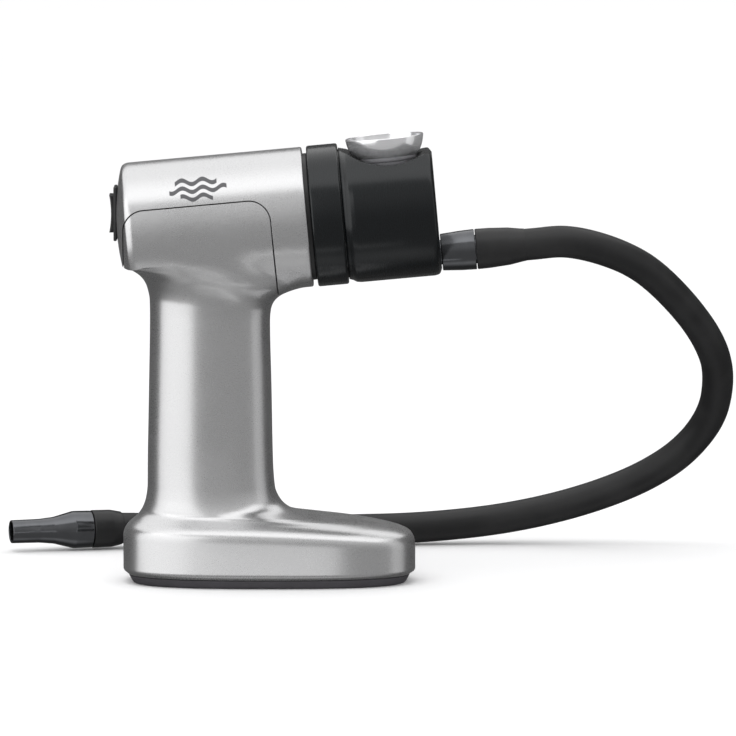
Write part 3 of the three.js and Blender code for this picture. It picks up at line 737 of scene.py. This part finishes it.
def softened(bm, sources):  # blends the line where two joined forms meet
    facts = bodyFacts
    known = treeOf(sources)

    def alongFrom(spot):
        return (spot - barrelFace).dot(alongBarrel)

    def isBlended(spot):  # the barrel's front edge and the notch at its rear stay sharp
        inNotch = spot.x <= barrelFace.x - 38 and spot.z <= facts["crotch"] + 2.2
        return spot.z > facts["blendLow"] and not inNotch and alongFrom(spot) < facts["blendFront"]

    seam = [vert.co.copy() for vert in bm.verts if known.find(vert.co)[2] > 1e-3 and isBlended(vert.co)]
    near = treeOf(seam)
    upper = [vert for vert in bm.verts if vert.co.z > 110 and alongFrom(vert.co) < facts["blendFront"] + 0.5]
    away = {vert: near.find(vert.co)[2] for vert in upper}
    for reach, passes in facts["blend"]:
        verts = [vert for vert, distance in away.items() if distance < reach]
        for _ in range(passes):
            bmesh.ops.smooth_vert(bm, verts=verts, factor=0.5,
                                  use_axis_x=True, use_axis_y=True, use_axis_z=True)
    return bm


def notched(form, lift=0):  # the barrel's rear is cut level over the crotch
    low, high = (-90, -40, 90), (bodyFacts["notchFront"], 40, bodyFacts["crotch"] + lift)
    return cutBy(form, block(low, high))


def silverForm():
    facts = bodyFacts
    wall = facts["wall"]
    barrel = notched(barrelForm(facts["radius"], facts["apex"], facts["rear"], facts["front"],
                                facts["barrelSides"], facts["barrelRow"], facts["frontEdge"]))
    column = columnForm(facts["columnSides"], facts["columnRows"])
    sources = [vert.co.copy() for form in (barrel, column) for vert in form.verts]
    outer = joinedTo(barrel, column)
    bmesh.ops.remove_doubles(outer, verts=outer.verts, dist=0.08)
    bmesh.ops.triangulate(outer, faces=[face for face in outer.faces if 4 < len(face.verts) < 30])
    outer = softened(outer, sources)
    bore = barrelForm(facts["bore"], facts["apex"] + 2.6, facts["rear"] + 1.5, 8, 96, 8, 0.5, 0.5)
    hollow = joinedTo(columnForm(64, 70, wall, hollowDrop), notched(bore, wall))
    return outer, hollow


def across(spot, profile, sides=24):  # turned about a line along Y
    turn = Matrix.Translation((spot[0], 0, spot[1])) @ Matrix.Rotation(math.pi / 2, 4, "Z")
    return moved(spun(profile, sides), turn)


def upwards(spot, profile, sides=24):
    turn = Matrix.Translation((*spot, 0)) @ Matrix.Rotation(-math.pi / 2, 4, "Y")
    return moved(spun(profile, sides), turn)


def footPost(spot, top):
    pilot, radius, low, depth = bodyFacts["footPost"].values()
    return upwards(spot, [(0, depth), (pilot, depth), (pilot, low), (radius, low), (radius, top), (0, top)])


def addBody():
    facts = bodyFacts
    outer, hollow = silverForm()
    shell = cutBy(outer.copy(), hollow)
    (rear, front), (wide, tall) = facts["switchHole"].values()
    middle = boxMiddle("switch_bezel").z
    opening = block((rear, -wide, middle - tall), (front, wide, middle + tall))
    housing = tidied(cutBy(shell.copy(), handleRegion(facts["seam"]), opening))
    piece("barrel_shell", housing, "stand", "silver", ["barrel_housing"])
    handle = within(shell, handleRegion(0))
    sleeves = [across(spot, facts["sleeve"]) for spot in facts["posts"]]
    feet = [footPost(spot, top) for spot, top in facts["feet"].items()]
    handle = joinedTo(handle, *sleeves, *feet)
    handle = cutBy(handle, *(across(spot, facts["recess"], 40) for spot in facts["posts"]))
    half = facts["parting"] / 2
    sides = {"left": ((-90, -60, -20), (90, -half, 190)), "right": ((-90, half, -20), (90, 60, 190))}
    for side, (low, high) in sides.items():
        shellHalf = tidied(within(handle.copy(), block(low, high)))
        piece(f"handle_{side}", shellHalf, "stand", "silver", [f"handle_shell_{side}"])
    print("body parted")


addBody()

# ---- foot plate, its screws and the battery door

footFacts = {
    "under": (57.4, 28), "over": (59.2, 29.8), "top": 3.6, "square": 2.7,
    "rim": [(0, 0.965), (0.25, 0.985), (0.9, 0.997), (1.6, 1.0), (3.6, 1.0)],  # level and fullness
    "window": (-25, 38, 34, 3), "screwHole": (3.5, 1.6), "grip": (-16, -12, 6),
    "screw": [(0, 0.75), (1.9, 0.7), (3.05, 1.1, 0.2), (3.05, 1.7, 0.1), (1, 1.7), (1, 11.6, 0.3), (0, 12)],
    "cross": (1.7, 0.28), "ribs": (-24, -27, -30, -33),
}


def roundedRect(x, y, long, wide, radius):
    a, b = long / 2, wide / 2
    corners = [(x + a * i, y + b * j, radius) for i, j in ((1, -1), (1, 1), (-1, 1), (-1, -1))]
    return [tuple(point) for point in filleted([(x, y - b), *corners, (x, y - b)], 8)[:-1]]


def plate(outline, low, high):  # an outline in X and Y, from low to high along Z
    turn = Matrix.Rotation(math.pi / 2, 4, "X") @ Matrix.Scale(-1, 4, (0, 1, 0))
    return tidied(moved(prism(outline, -high, -low), turn))


def addFoot():
    facts = footFacts
    (longLow, halfLow), (longHigh, halfHigh) = facts["under"], facts["over"]
    rows = facts["rim"]

    def place(angle, share):
        level, pull = rows[round(share * (len(rows) - 1))]
        part = level / facts["top"]
        long = (longLow + (longHigh - longLow) * part) - (1 - pull) * 18
        half = (halfLow + (halfHigh - halfLow) * part) - (1 - pull) * 18
        return ovalPoint((level, level, -long, long, half, facts["square"], facts["square"], 0), angle)

    plateForm = wrapped(160, len(rows) - 1, place)
    window = plate(roundedRect(facts["window"][0], 0, *facts["window"][1:]), -1, 9)
    wide, narrow = facts["screwHole"]
    steps = [(0, -1), (wide, -1), (wide, 2), (narrow, 2), (narrow, 6), (0, 6)]
    spots = list(bodyFacts["feet"])
    holes = [upwards(spot, steps, 40) for spot in spots]
    plateForm = cutBy(plateForm, window, *holes)
    piece("base_plate", plateForm, "stand", "foot", ["foot_plate"], sharp=30)

    long, short = facts["cross"]
    for i, (x, y) in enumerate(spots, 1):
        slots = [block((x - a, y - b, 0), (x + a, y + b, 1.5)) for a, b in ((long, short), (short, long))]
        screw = cutBy(upwards((x, y), facts["screw"], 40), joinedTo(*slots))
        piece(f"base_screw_{i}", screw, "stand", "steel", [f"foot_screw_{i}"])

    low, high = (Vector(corner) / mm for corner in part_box("battery_door"))
    middle = (low + high) / 2
    lid = plate(roundedRect(middle.x, 0, high.x - low.x, high.y - low.y, 2.7), low.z, high.z)
    roundEdges(lid, [edge for edge in lid.edges if edge.calc_face_angle(0) > 1.2], 0.3, 2)
    back, front, half = facts["grip"]
    grip = block((back, -half, low.z - 1), (front, half, 1.4), 0.5)
    ribs = [block((x - 0.35, -9, low.z - 0.5), (x + 0.35, 9, low.z + 0.35)) for x in facts["ribs"]]
    lid = cutBy(lid, grip, *ribs)
    piece("door_panel", lid, "battery_lid", "foot", ["battery_door"], sharp=30)
    print("foot made")


addFoot()

# ---- switch

switchFacts = {
    "bezel": {"back": 0.5, "front": -0.9, "half": (7.4, 11.3), "hole": (5.7, 9.3)},
    "rocker": {
        "tip": (-2.7, 7.9), "hollow": (-45, 0), "shoulder": (1.6, 7.7), "heel": (4.6, 2.7), "width": 10.8,
    },
}


def addSwitch():
    x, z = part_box("switch_bezel")[1][0] / mm + 0.3, boxMiddle("switch_bezel").z
    at = Matrix.Translation((x, 0, z))
    bezel, rocker = switchFacts["bezel"], switchFacts["rocker"]
    (wide, tall), (holeWide, holeTall) = bezel["half"], bezel["hole"]
    ring = block((bezel["front"], -wide, -tall), (bezel["back"], wide, tall), 0.45)
    hole = block((-4, -holeWide, -holeTall), (4, holeWide, holeTall))
    piece("switch_frame", cutBy(ring, hole), "stand", "plastic", ["switch_bezel"], at)

    tipX, tipZ = rocker["tip"]
    centre = Vector(rocker["hollow"])
    reach, spread = math.hypot(tipX - centre.x, tipZ), math.atan2(tipZ, tipX - centre.x)
    turns = [spread * (1 - k / 8) for k in range(17)]
    face = [tuple(centre + reach * Vector((math.cos(a), math.sin(a)))) for a in turns]
    heel, radius = rocker["heel"]
    turns = [-0.84 + 1.68 * k / 8 for k in range(9)]
    back = [(heel + radius * math.cos(a), radius * math.sin(a)) for a in turns]
    outline = [*face, (rocker["shoulder"][0], -rocker["shoulder"][1]), *back, rocker["shoulder"]]
    half = rocker["width"] / 2
    form = prism(outline, -half, half)
    ends = [edge for edge in form.edges if abs(edge.verts[0].co.y - edge.verts[1].co.y) < 1e-3]
    roundEdges(form, [edge for edge in ends if edge.calc_face_angle(0) > 1], 0.45, 3)
    piece("switch_paddle", form, "rocker", "gloss", ["switch_rocker"], at, sharp=40)
    print("switch made")


addSwitch()

# ---- fan neck, collar, burn chamber, bowl

neckProfile = [
    (3.2, -9), (26.6, -9, 0.4), (26.6, 3.1, 0.5), (24.6, 3.1), (24.6, 5.4, 0.2), (23.4, 5.4), (23.4, 7.2),
    (24.6, 7.2, 0.2), (24.6, 10.8, 0.5), (22.3, 10.8, 0.4), (22.3, -7), (3.2, -7), (3.2, -9),
]
collarProfile = [
    (25, 3.1, 0.3), (29.6, 3.1, 0.9), (29.6, 16.1, 0.9), (27.3, 16.1, 0.2), (27.3, 8), (25, 8, 0.2),
    (25, 3.1),
]
chamberFacts = {
    "outside": [
        (0, 8.4), (27, 8.4, 0.5), (27, 16.4), (27.7, 16.4, 0.2), (28.2, 17.9, 1.4), (29.1, 19.4, 2.2),
        (29.4, 21.4, 3), (29.4, 30), (29.4, 40), (29.4, 52.4), (28.9, 54.4, 1.6), (26.8, 55.4, 2), (0, 55.4),
    ],
    "inside": [(0, 0), (25, 0), (25, 52.8, 1), (0, 52.8)],
    "roof": 15.9,
    "scoop": {"start": 20.4, "end": 51.8, "centre": (38, 49.8), "radius": 30, "lead": (15.9, 27.6),
              "lip": [(53.9, 23.2, 1.2), (55.6, 21, 1), (58, 20)]},
    "seat": [(0, 0), (10.6, 0), (10.6, 18.9), (15.4, 18.9), (15.4, 60), (0, 60)],
    "outlet": [(0, 40), (5.5, 40), (5.5, 70), (0, 70)],
}
bowlFacts = {
    "along": 36.2, "level": 32, "radius": 16.45, "rim": 30.8, "wall": 0.8,
    "foot": [(6.6, 14.4), (8, 14.4, 0.3), (8.2, 16.2, 0.5)], "start": (17.74, 18.2), "floor": 18,
}
screenFacts = {
    "level": 18.8, "half": 7.2, "cells": 17, "radius": 7.0, "weave": 0.07, "wire": 0.22, "rim": (7.1, 0.26),
}


def upright(profile, along, segments=96, steps=5):  # turned about the barrel's own upward line
    turn = Matrix.Translation((along, 0, 0)) @ Matrix.Rotation(-math.pi / 2, 4, "Y")
    return moved(spun(profile, segments, steps), turn)


def chamberForm():
    facts, scoop = chamberFacts, chamberFacts["scoop"]
    (middle, level), radius = scoop["centre"], scoop["radius"]
    spots = [scoop["start"] + (scoop["end"] - scoop["start"]) * k / 48 for k in range(49)]
    arc = [(along, level - math.sqrt(radius**2 - (along - middle) ** 2)) for along in spots]
    lip = [tuple(point) for point in filleted([arc[-2], *scoop["lip"]])[1:]]
    sky = [(scoop["lip"][-1][0], 60), (scoop["lead"][0], 60)]
    hollow = prism([scoop["lead"], *arc[:-1], *lip, *sky], -40, 40)
    form = cutBy(spun(facts["outside"], 176), hollow)
    room = cutBy(spun(facts["inside"], 96), block((13, -40, facts["roof"]), (80, 40, 60)))
    seat = upright(facts["seat"], bowlFacts["along"])
    outlet = moved(spun(facts["outlet"], 64), Matrix.Translation((0, 0, inletFacts["drop"])))
    return cutBy(form, room, seat, outlet)


def bowlArc(radius, low, high, steps=22):
    levels = [low + (high - low) * k / steps for k in range(steps + 1)]
    return [(math.sqrt(radius**2 - (bowlFacts["level"] - level) ** 2), level) for level in levels]


def bowlForm():
    facts = bowlFacts
    (low, lowInside), top = facts["start"], facts["rim"]
    outer = bowlArc(facts["radius"], low, top)
    inner = bowlArc(facts["radius"] - facts["wall"], top, lowInside)
    rim = [(*outer[-1], 0.36), (*inner[0], 0.36)]
    bore = facts["foot"][0]
    profile = [*facts["foot"], *outer[:-1], *rim, *inner[1:], (bore[0], facts["floor"]), bore]
    return upright(profile, facts["along"], 128)


def addChamber():
    at = barrelSpace
    piece("neck", spun(neckProfile, 128), "stand", "plastic", ["fan_neck"], at)
    piece("collar", spun(collarProfile, 160), "chamber", "anodised", ["chamber_collar"], at)
    piece("burner", chamberForm(), "chamber", "anodised", ["burn_chamber"], at, sharp=28)
    piece("bowl_cup", bowlForm(), "bowl_body", "polished", ["bowl"], at)
    addScreen()
    print("chamber made")


def wovenWire():
    facts = screenFacts
    half, pitch = facts["half"], 2 * facts["half"] / facts["cells"]
    mesh = bmesh.new()
    bmesh.ops.create_grid(mesh, x_segments=facts["cells"], y_segments=facts["cells"], size=half)
    outside = [vert for vert in mesh.verts if vert.co.length > facts["radius"]]
    bmesh.ops.delete(mesh, geom=outside, context="VERTS")
    for vert in mesh.verts:
        steps = round((vert.co.x + half) / pitch) + round((vert.co.y + half) / pitch)
        vert.co.z = facts["weave"] if steps % 2 else -facts["weave"]
    loose = looseObject(mesh)
    wires = loose.modifiers.new("wires", "WIREFRAME")
    wires.thickness, wires.use_boundary = facts["wire"], True
    woven = applied(loose)
    bpy.data.objects.remove(loose)
    return woven


def rolledRim(radius, thickness):
    rim = bmesh.new()
    start = Matrix.Translation((radius, 0, 0)) @ Matrix.Rotation(math.pi / 2, 4, "X")
    bmesh.ops.create_circle(rim, segments=12, radius=thickness, matrix=start)
    bmesh.ops.spin(rim, geom=rim.verts[:] + rim.edges[:], cent=(0, 0, 0), axis=(0, 0, 1), dvec=(0, 0, 0),
                   angle=2 * math.pi, steps=64, use_merge=True, use_duplicate=False)
    return tidied(rim)


def addScreen():  # woven wire held in a rolled rim
    screen = wovenWire()
    rim = bpy.data.meshes.new("rim")
    rolledRim(*screenFacts["rim"]).to_mesh(rim)
    screen.from_mesh(rim)
    bpy.data.meshes.remove(rim)
    moved(screen, Matrix.Translation((bowlFacts["along"], 0, screenFacts["level"])))
    piece("wire_screen", screen, "screen", "steel", ["bowl_screen"], barrelSpace)


addChamber()

# ---- the parts that keep their shape

keptFinishes = {
    "motor_can": "steel", "motor_end_cap": "plastic", "motor_rotor": "copper", "motor_shaft": "steel",
    "motor_mount": "plastic", "motor_screw": "steel", "impeller": "plastic", "shaft_bush": "bronze",
    "neck_seal": "silicone", "seat_gasket": "silicone", "shell_screw": "steel", "battery_holder": "plastic",
    "battery_spring": "steel", "battery": "cell", "door_contact": "copper", "top_contact": "copper",
    "speed_board": "board", "power_transistor": "plastic", "wire_battery": "red", "wire_switch": "red",
    "wire_ground": "black", "wire_motor": "black", "switch_body": "plastic", "switch_terminal": "copper",
}


def dressKept():
    for name, node in frame["nodes"].items():
        if node.hide_render:
            continue
        stem = name.rstrip("_0123456789")
        for slot in node.material_slots:
            slot.link = "OBJECT"
            slot.material = finishes[keptFinishes[stem]]
    print("kept parts dressed")


dressKept()

# ---- stage and light

stageFacts = {
    "floor": (0.95, 0.95, 0.955),
    "ambient": 1.08, "behind": 0.1, "ahead": 0.34, "above": 0.26, "beneath": 0.6,
    "lamps": {  # place, what it points at, width and height in metres, brightness, what it serves
        "overhead": ((0.02, 0.34, 1.05), (0.02, 0.34, 0), (2.4, 2.1), 1.22, "mirror"),
        "left": ((-1.0, -0.66, 0.3), (0, 0, 0.12), (1.8, 1.5), 1.15, "mirror"),
        "right": ((1.4, -0.1, 0.3), (0, 0, 0.12), (0.8, 1.5), 0.45, "mirror"),
        "low": ((0.0, -0.13, -0.004), (0, 0, -0.004), (0.13, 0.034), 0.75, "mirror"),
        "soft": ((-0.3, -0.65, 1.4), (0, 0, 0.08), (1.0, 1.0), 1.6, "shade"),
    },
}


class Surroundings(Finish):  # even light for matt surfaces, a darker room with a lighter front for gloss
    def __init__(self, facts):
        world = bpy.data.worlds.new("studio")
        bpy.context.scene.world = world
        world.use_nodes = True
        self.tree = world.node_tree
        way = self.node("ShaderNodeSeparateXYZ", inputs={0: self.node("ShaderNodeTexCoord", output=0)})
        ahead = Socket(self.tree, way.end.node.outputs[1])
        up = Socket(self.tree, way.end.node.outputs[2])
        front = self.smooth(ahead * -1, -0.3, 0.5)
        seen = self.smooth(up, -0.15, 0.55) * facts["above"] + facts["ahead"]
        seen = seen + self.smooth(up * -1, 0.85, 0.99) * facts["beneath"]
        seen = front * (seen - facts["behind"]) + facts["behind"]
        glossy = self.node("ShaderNodeLightPath", output=3)
        strength = seen * glossy + (1 - glossy) * facts["ambient"]
        background = self.tree.nodes["Background"]
        background.inputs["Color"].default_value = (1, 1, 1, 1)
        self.feed(background.inputs["Strength"], strength)


def addStage():
    facts = stageFacts
    bm = bmesh.new()
    bmesh.ops.create_grid(bm, x_segments=8, y_segments=8, size=14)
    floor = looseObject(bm, "floor")
    finish = Finish("floorWhite", Roughness=0.9, Specular_IOR_Level=0.1)
    grain = finish.noise(900, 2)
    finish.give("Base Color", finish.mixed(grain, shade(facts["floor"], 0.995), shade(facts["floor"], 1)))
    floor.data.materials.append(finish.material)
    floor.visible_glossy = False
    Surroundings(facts)
    for name, (place, aim, (width, height), brightness, serves) in facts["lamps"].items():
        data = bpy.data.lights.new(name, "AREA")
        data.shape, data.size, data.size_y = "RECTANGLE", width, height
        data.energy = brightness * math.pi * width * height
        lamp = bpy.data.objects.new(name, data)
        lamp.location = place
        lamp.rotation_euler = (Vector(place) - Vector(aim)).to_track_quat("Z", "Y").to_euler()
        lamp.visible_diffuse = serves == "shade"
        lamp.visible_glossy = serves == "mirror"
        lamp.visible_camera = False
        bpy.context.scene.collection.objects.link(lamp)
    bpy.context.scene.view_settings.view_transform = "Standard"


addStage()
print("stage lit")
